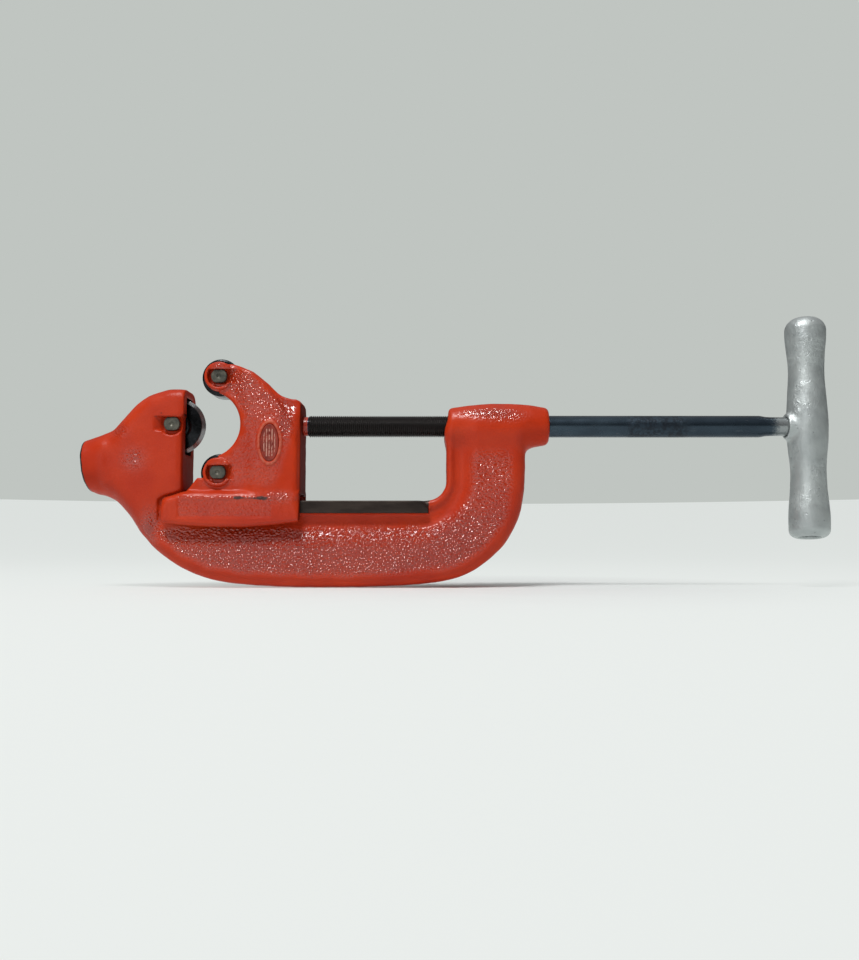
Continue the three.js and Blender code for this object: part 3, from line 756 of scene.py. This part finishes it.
class Look:
    """A node material, built from small named patterns whose sizes are in millimetres."""

    def __init__(self, name):
        self.material = bpy.data.materials.new(name)
        self.material.use_nodes = True
        self.tree = self.material.node_tree
        self.surface = self.tree.nodes["Principled BSDF"]
        self.place = self.node("ShaderNodeTexCoord").outputs["Object"]
        self.normal = None

    def node(self, kind, settings=None, inputs=None):
        made = self.tree.nodes.new(kind)
        for key, value in (settings or {}).items():
            setattr(made, key, value)
        for key, value in (inputs or {}).items():
            self.feed(made.inputs[key], value)
        return made

    def feed(self, socket, value):
        if isinstance(value, bpy.types.NodeSocket):
            self.tree.links.new(value, socket)
        else:
            socket.default_value = value

    def stretched(self, stretch):
        scaled = self.node("ShaderNodeVectorMath", {"operation": "MULTIPLY"}, {0: self.place})
        scaled.inputs[1].default_value = stretch
        return scaled.outputs[0]

    def noise(self, size, detail=3.0, rough=0.55, stretch=(1, 1, 1), warp=0.0):
        values = {"Vector": self.stretched(stretch), "Scale": 1000 / size, "Detail": detail,
                  "Roughness": rough, "Distortion": warp}
        return self.node("ShaderNodeTexNoise", None, values).outputs[0]

    def cells(self, size, feature="SMOOTH_F1"):
        values = {"Vector": self.place, "Scale": 1000 / size}
        made = self.node("ShaderNodeTexVoronoi", {"feature": feature}, values)
        return made.outputs["Distance"]

    def spread(self, value, low, high, to_low=0.0, to_high=1.0):
        """Maps low..high of a value onto to_low..to_high, clamped."""
        values = {"Value": value, "From Min": low, "From Max": high, "To Min": to_low,
                  "To Max": to_high}
        return self.node("ShaderNodeMapRange", None, values).outputs[0]

    def maths(self, operation, a, b):
        made = self.node("ShaderNodeMath", {"operation": operation}, {0: a, 1: b})
        return made.outputs[0]

    def mask(self, name):
        return self.node("ShaderNodeAttribute", {"attribute_name": name}).outputs["Fac"]

    def colours(self, factor, first, second):
        made = self.node("ShaderNodeMix", {"data_type": "RGBA"}, {0: factor})
        self.feed(made.inputs[6], first)
        self.feed(made.inputs[7], second)
        return made.outputs[2]

    def numbers(self, factor, first, second):
        return self.node("ShaderNodeMix", None, {0: factor, 2: first, 3: second}).outputs[0]

    def relief(self, height, depth, strength=1.0):
        """Adds bump whose height spans depth millimetres."""
        values = {"Height": height, "Distance": depth * MM, "Strength": strength}
        if self.normal is not None:
            values["Normal"] = self.normal
        self.normal = self.node("ShaderNodeBump", None, values).outputs[0]

    def finish(self, **inputs):
        for key, value in inputs.items():
            self.feed(self.surface.inputs[key.replace("_", " ")], value)
        if self.normal is not None:
            self.feed(self.surface.inputs["Normal"], self.normal)
        return self.material


def red_paint():
    """Gloss orange-red paint, thick over a pebbled casting, rubbed through to dark iron, with
    painted shade in the pebbles' creases and on faces that lie in shadow.
    """
    look = Look("red_paint")
    bare, wear_and_shadow, grain, painted_shade = [look.mask(m) for m in ("bare", "wear_and_shadow", "grain", "painted_shade")]
    cloudy = look.spread(look.noise(38, 2), 0.35, 0.65)
    red = look.colours(cloudy, tone(176, 43, 12), tone(190, 53, 17))
    pebble = look.cells(2.2, "F1")
    dome = look.spread(look.maths("POWER", pebble, 1.3), 0.0, 0.5)
    # Painted shade: the creases between the pebbles are coloured darker.
    crease_shade = look.maths("MULTIPLY", look.maths("MULTIPLY", dome, grain), 0.45)
    red = look.colours(crease_shade, red, tone(104, 18, 6))
    # Painted shade: faces that lie in shadow are coloured dark red and made dull.
    red = look.colours(look.maths("MULTIPLY", painted_shade, 0.8), red, tone(62, 10, 5))
    rubbed = look.maths("MULTIPLY", look.mask("rubbed"), look.spread(look.noise(2.5), 0.3, 0.6))
    red = look.colours(look.maths("MULTIPLY", rubbed, 0.5), red, tone(196, 128, 108))
    swirl = look.noise(2.6, 2)
    height = look.maths("MULTIPLY", look.maths("SUBTRACT", swirl, dome), grain)
    edge = look.spread(look.maths("ADD", bare, look.maths("MULTIPLY", look.noise(1.8), 0.5)),
                       0.62, 0.82)
    # Dark marks from real wear and chips, and the painted shadow line along the jaw's pin slot.
    soil_and_shadow = look.spread(look.maths("ADD", wear_and_shadow, look.noise(2.4, 4, 0.65)), 0.95, 1.2)
    iron = look.colours(look.spread(look.noise(7, 4, stretch=(0.25, 1, 1)), 0.3, 0.7),
                        tone(48, 41, 38), tone(70, 61, 56))
    colour = look.colours(soil_and_shadow, red, tone(58, 26, 20))
    colour = look.colours(edge, colour, iron)
    painted = look.numbers(look.spread(look.noise(9, 3), 0.3, 0.7), 0.36, 0.48)
    painted = look.numbers(look.spread(grain, 0.0, 0.5), painted, 0.12)
    painted = look.numbers(look.maths("MAXIMUM", soil_and_shadow, painted_shade), painted, 0.65)
    look.relief(look.noise(7, 3), 0.5, 0.3)
    look.relief(look.maths("MULTIPLY", height, look.maths("SUBTRACT", 1.0, edge)), 0.85)
    look.relief(look.noise(0.5, 2, stretch=(0.1, 1, 1)), 0.02, 0.4)
    gloss = look.maths("SUBTRACT", look.spread(grain, 0.0, 0.6, 0.16, 0.85), painted_shade)
    return look.finish(Base_Color=colour, Metallic=look.maths("MULTIPLY", edge, 0.8),
                       Roughness=look.numbers(edge, painted, 0.45),
                       Specular_IOR_Level=look.maths("MAXIMUM", gloss, 0.08))


def black_oxide():
    """Blue-black oxide on turned bar: thread, plain rod with a scuffed band, painted shoulder."""
    look = Look("black_oxide_steel")
    thread = look.mask("thread")
    band = look.mask("scuffed")
    paint = look.mask("painted")
    tint = look.spread(look.noise(22, 3, stretch=(0.35, 1, 1)), 0.35, 0.65)
    steel = look.colours(tint, tone(40, 51, 62), tone(58, 72, 83))
    steel = look.colours(thread, steel, tone(58, 55, 54))
    blotch = look.spread(look.noise(3.4, 4), 0.42, 0.58)
    blotch = look.maths("MULTIPLY", blotch, 0.6)
    steel = look.colours(look.maths("MULTIPLY", band, blotch), steel, tone(26, 28, 34))
    scratch = look.spread(look.noise(0.9, 3, stretch=(0.06, 1, 1)), 0.66, 0.72)
    steel = look.colours(look.maths("MULTIPLY", scratch, 0.35), steel, tone(110, 118, 124))
    chip = look.spread(look.maths("ADD", paint, look.noise(1.6, 3)), 0.92, 1.05)
    colour = look.colours(chip, steel, tone(178, 56, 38))
    spray = look.spread(look.maths("ADD", look.mask("sprayed"), look.noise(1.2, 3)), 0.85, 1.3)
    colour = look.colours(spray, colour, tone(150, 155, 156))
    look.relief(look.noise(0.35, 2, stretch=(0.08, 1, 1)), 0.02, 0.5)
    look.relief(look.maths("MULTIPLY", band, look.noise(1.9, 3)), 0.4)
    rough = look.numbers(band, look.spread(look.noise(12, 3), 0.3, 0.7, 0.2, 0.32), 0.42)
    rough = look.numbers(thread, rough, 0.36)
    return look.finish(Base_Color=colour, Metallic=look.spread(chip, 0.0, 1.0, 0.75, 0.0),
                       Roughness=rough)


def silver_paint():
    """Satin aluminium paint over a lumpy casting, with wrinkles and small pits."""
    look = Look("silver_paint")
    cloudy = look.spread(look.noise(24, 4), 0.35, 0.65)
    colour = look.colours(cloudy, tone(172, 178, 178), tone(192, 198, 197))
    pits = look.spread(look.cells(5.5, "F1"), 0.04, 0.15)
    wrinkle = look.noise(4, 4, 0.6, stretch=(1, 1, 0.7), warp=1.4)
    colour = look.colours(look.spread(pits, 0.0, 1.0, 0.45, 0.0), colour, tone(86, 90, 93))
    patchy = look.spread(look.noise(26, 2), 0.42, 0.62, 0.2, 1.0)
    look.relief(look.maths("MULTIPLY", wrinkle, patchy), 1.2, 0.7)
    look.relief(pits, 0.3, 0.7)
    look.relief(look.noise(0.8, 2), 0.07, 0.7)
    return look.finish(Base_Color=colour, Metallic=0.75, Specular_IOR_Level=0.6,
                       Roughness=look.spread(look.noise(5, 3), 0.3, 0.7, 0.42, 0.52))


def steel_look(name, dark, light, low, high, metallic, grain=0.5):
    """Plain steel with cloudy colour, fine machining grain, small dents and bright ground edges,
    their brightness partly a painted highlight.
    """
    look = Look(name)
    colour = look.colours(look.spread(look.noise(5, 4), 0.35, 0.65), dark, light)
    # Ground steel edge coloured bright, brighter still as a painted highlight on the wheel's bevel.
    colour = look.colours(look.maths("MULTIPLY", look.mask("ground_and_highlight"), 0.8), colour,
                          tone(150, 152, 153))
    scratch = look.spread(look.noise(0.6, 3, stretch=(1, 0.1, 1)), 0.62, 0.72)
    colour = look.colours(look.maths("MULTIPLY", scratch, 0.3), colour, tone(140, 142, 142))
    look.relief(look.noise(grain, 3), 0.03, 0.6)
    look.relief(look.noise(3.5, 2), 0.12, 0.4)
    return look.finish(Base_Color=colour, Metallic=metallic,
                       Roughness=look.spread(look.noise(2.4, 3), 0.3, 0.7, low, high))


def label_foil():
    """Dark red printed foil, its pale print rubbed away in places."""
    look = Look("label_foil")
    printed = look.mask("printed")
    cloudy = look.spread(look.noise(6, 3), 0.4, 0.6)
    colour = look.colours(cloudy, tone(120, 38, 28), tone(146, 50, 36))
    rubbed = look.maths("MULTIPLY", printed, look.spread(look.noise(2.2, 3), 0.36, 0.52))
    colour = look.colours(rubbed, colour, tone(196, 138, 122))
    look.relief(look.noise(1.2, 3), 0.06, 0.6)
    return look.finish(Base_Color=colour, Metallic=0.35,
                       Roughness=look.spread(look.noise(4, 2), 0.3, 0.7, 0.3, 0.48))


# ---------------------------------------------------------------- pieces

RED = red_paint()
OXIDE = black_oxide()
SILVER = silver_paint()
HARD = steel_look("hard_steel", tone(22, 23, 25), tone(38, 40, 43), 0.16, 0.28, 0.85)
PIN = steel_look("pin_steel", tone(66, 66, 60), tone(96, 94, 84), 0.42, 0.6, 0.6, 0.9)
CLIP = steel_look("clip_steel", tone(46, 46, 47), tone(70, 70, 70), 0.3, 0.45, 0.85)
FOIL = label_foil()

sculpt("frame_cast", frame_field, (-72, -22, -129), (300, 22, 29), 1.15, "frame", RED,
       ["frame_casting"],
       masks={"grain": frame_grain, "bare": frame_bare, "wear_and_shadow": frame_wear_and_shadow,
              "painted_shade": frame_painted_shade})
sculpt("housing_cast", housing_field, (-7, -24, -82), (102, 24, 50), 0.75, "housing", RED,
       ["roller_housing"],
       masks={"grain": housing_grain, "bare": housing_bare, "wear_and_shadow": housing_wear,
              "rubbed": housing_rubbed, "painted_shade": housing_painted_shade})
sculpt("handle_cast", handle_field, (487, -23, -92), (526, 23, 92), 0.8, "screw", SILVER,
       ["t_handle"])
sculpt("label_plate", label_field, (70, -23.4, -30.5), (85.2, -22, 0), 0.25, "housing", FOIL,
       ["oval_label"], masks={"printed": label_print})
sculpt("screw_clip", screw_clip_field, (88, -8, -9), (91, 21, 9), 0.4, "housing", CLIP,
       ["screw_retaining_clip"])

turned("feed_bar", screw_profile(), 32, (0, 0, 0), "x", "screw", OXIDE,
       ["feed_screw"], bored=False, wobble=thread_depth,
       masks={"thread": lambda p: 1.0 * (p[0] > THREAD[0]) * (p[0] < THREAD[1] - 3),
              "scuffed": lambda p: ramp(p[0], 359, 364) * (1 - ramp(p[0], 405, 410)),
              "painted": lambda p: ramp(p[0], 100, 101.4) * (1 - ramp(p[0], 104.6, 105.4)),
              "sprayed": lambda p: ramp(p[0], 468, 489)})
turned("handle_pin", [(-4.5, 2.6), (-4.2, 2.9), (15, 2.9), (15.6, 2.4)], 28,
       (HANDLE_X, 0, 0), "y", "screw", CLIP, ["handle_drive_pin"], bored=False)
turned("wheel", WHEEL_PROFILE, 96, (0, 0, 0), "y", "wheel", HARD,
       ["cutter_wheel"], masks={"ground_and_highlight": lambda p: 1.0 * (np.hypot(p[0], p[2]) > 20.1)})

# Each pin's height, its x, and how far its head's seat and its ring's seat are from the middle.
JAW_PIN = (0, 0, 14.5, JAW_RING_SEAT)
FORK_PINS = {"upper": (ROLLER_Z, ROLLER_X, FORK_SEAT, ARM_HALF),
             "lower": (-ROLLER_Z, ROLLER_X, FORK_SEAT, ARM_HALF)}


def add_pin(name, nodes, body, height, across, floor, seat):
    """A headed pin and the open ring that holds its tail."""
    low, high = (across - 8, 0, height - 8), (across + 8, 0, height + 8)
    sculpt(name, lambda p: pin_field(p, height, across, floor, seat),
           (low[0] + 1.5, -floor - 4.6, low[2] + 1.5), (high[0] - 1.5, seat + 3.8, high[2] - 1.5),
           0.36, body, PIN, nodes[:1])
    sculpt(name + "_ring", lambda p: clip_field(p, height, across, seat),
           (low[0], seat + 0.4, low[2]), (high[0], seat + 1.6, high[2]),
           0.25, body, CLIP, nodes[1:])


add_pin("wheel_pin", ["cutter_wheel_pin", "cutter_wheel_pin_clip"], "frame", *JAW_PIN)
for where, spot in FORK_PINS.items():
    add_pin(where + "_pin", [where + "_roller_pin", where + "_roller_pin_clip"], "housing", *spot)
    turned(where + "_wheel", ROLLER_PROFILE, 72, (ROLLER_X, 0, spot[0]), "y",
           where + "_roller_body", HARD, [where + "_roller"])


# ---------------------------------------------------------------- floor, light and camera

def studio():
    """A pale floor whose far rim rises gently to meet a plain grey surround."""
    reach = [0.2, 0.4, 0.7, 1.1, 1.6, 2.4, 3.4, 4.6, 6.0]
    flat, rise, segments = 1.1, 0.33, 96
    rings = []
    angle = np.linspace(0, 2 * np.pi, segments, endpoint=False)
    for r in reach:
        z = rise * max(0.0, (r - flat) / (reach[-1] - flat)) ** 2
        rings.append(np.column_stack([r * np.cos(angle), r * np.sin(angle), 0 * angle + z]))
    vertices = np.vstack([[[0, 0, 0]]] + rings)
    index = 1 + np.arange(len(rings) * segments).reshape(-1, segments)
    after = np.roll(index, -1, axis=1)
    faces = [[0, a, b] for a, b in zip(index[0].tolist(), after[0].tolist())]
    faces += np.stack([index[:-1], index[1:], after[1:], after[:-1]], -1).reshape(-1, 4).tolist()
    mesh = bpy.data.meshes.new("floor")
    mesh.from_pydata(vertices.tolist(), [], faces)
    mesh.shade_smooth()
    floor = bpy.data.objects.new("floor", mesh)
    bpy.context.scene.collection.objects.link(floor)
    look = Look("pale_board")
    colour = look.colours(look.spread(look.noise(60, 3), 0.3, 0.7), tone(238, 240, 239),
                          tone(243, 245, 244))
    away = look.node("ShaderNodeVectorMath", {"operation": "LENGTH"}, {0: look.place})
    far = look.spread(away.outputs[1], 0.0, 0.3)
    look.relief(look.cells(4.0), 0.12, 0.4)
    colour = look.colours(far, colour, (0.12, 0.12, 0.12, 1))
    glow = look.maths("MULTIPLY", far, 0.72)
    mesh.materials.append(look.finish(Base_Color=colour, Roughness=0.8, Emission_Strength=glow,
                                      Emission_Color=tone(247, 252, 249)))


def soft_light(name, spot, target, size, power, shine):
    """A rectangular lamp at spot, turned to target. shine scales what it adds to reflections."""
    light = bpy.data.lights.new(name, "AREA")
    light.shape = "RECTANGLE"
    light.size, light.size_y = size
    light.energy = power
    light.specular_factor = shine
    holder = bpy.data.objects.new(name, light)
    bpy.context.scene.collection.objects.link(holder)
    holder.location = spot
    direction = Vector(target) - Vector(spot)
    holder.rotation_euler = direction.to_track_quat("-Z", "Y").to_euler()


def surround():
    """Plain grey to the camera, an even room to what it lights, and in reflections a dim room
    with a pale ceiling."""
    world = bpy.data.worlds.new("surround")
    bpy.context.scene.world = world
    world.use_nodes = True
    tree = world.node_tree
    path = tree.nodes.new("ShaderNodeLightPath")
    place = tree.nodes.new("ShaderNodeTexCoord")
    parts = tree.nodes.new("ShaderNodeSeparateXYZ")
    tree.links.new(place.outputs["Generated"], parts.inputs[0])
    ceiling = tree.nodes.new("ShaderNodeMapRange")
    tree.links.new(parts.outputs["Z"], ceiling.inputs["Value"])
    for key, value in (("From Min", 0.25), ("From Max", 0.95), ("To Min", 0.06), ("To Max", 0.5)):
        ceiling.inputs[key].default_value = value
    colour = (0.17, 0.18, 0.18, 1)
    for kind, seen in (("Is Glossy Ray", ceiling.outputs[0]),
                       ("Is Camera Ray", tone(192, 197, 193))):
        choose = tree.nodes.new("ShaderNodeMix")
        choose.data_type = "RGBA"
        tree.links.new(path.outputs[kind], choose.inputs[0])
        if isinstance(colour, tuple):
            choose.inputs[6].default_value = colour
        else:
            tree.links.new(colour, choose.inputs[6])
        if isinstance(seen, bpy.types.NodeSocket):
            tree.links.new(seen, choose.inputs[7])
        else:
            choose.inputs[7].default_value = seen
        colour = choose.outputs[2]
    tree.links.new(colour, tree.nodes["Background"].inputs["Color"])


def look_from_the_front():
    """A camera low in front of the tool, tilted up a little."""
    distance, eye_level, rise = 0.744, 0.0334, 0.052
    camera = bpy.data.cameras.new("camera")
    camera.lens = 34.9
    camera.clip_start = 0.01
    holder = bpy.data.objects.new("camera", camera)
    bpy.context.scene.collection.objects.link(holder)
    holder.location = (WHEEL[0] + 0.2024, -distance, eye_level)
    holder.rotation_euler = (math.radians(90) + math.atan2(rise, distance), 0, 0)
    bpy.context.scene.camera = holder


studio()
surround()
soft_light("overhead", (-0.42, -0.8, 1.68), (0, 0, 0.06), (0.64, 0.42), 27, 2.2)
soft_light("front_fill", (-0.9, -1.6, 0.6), (0, 0, 0.08), (1.2, 0.8), 3.5, 0.3)
look_from_the_front()
bpy.context.scene.view_settings.view_transform = "Standard"
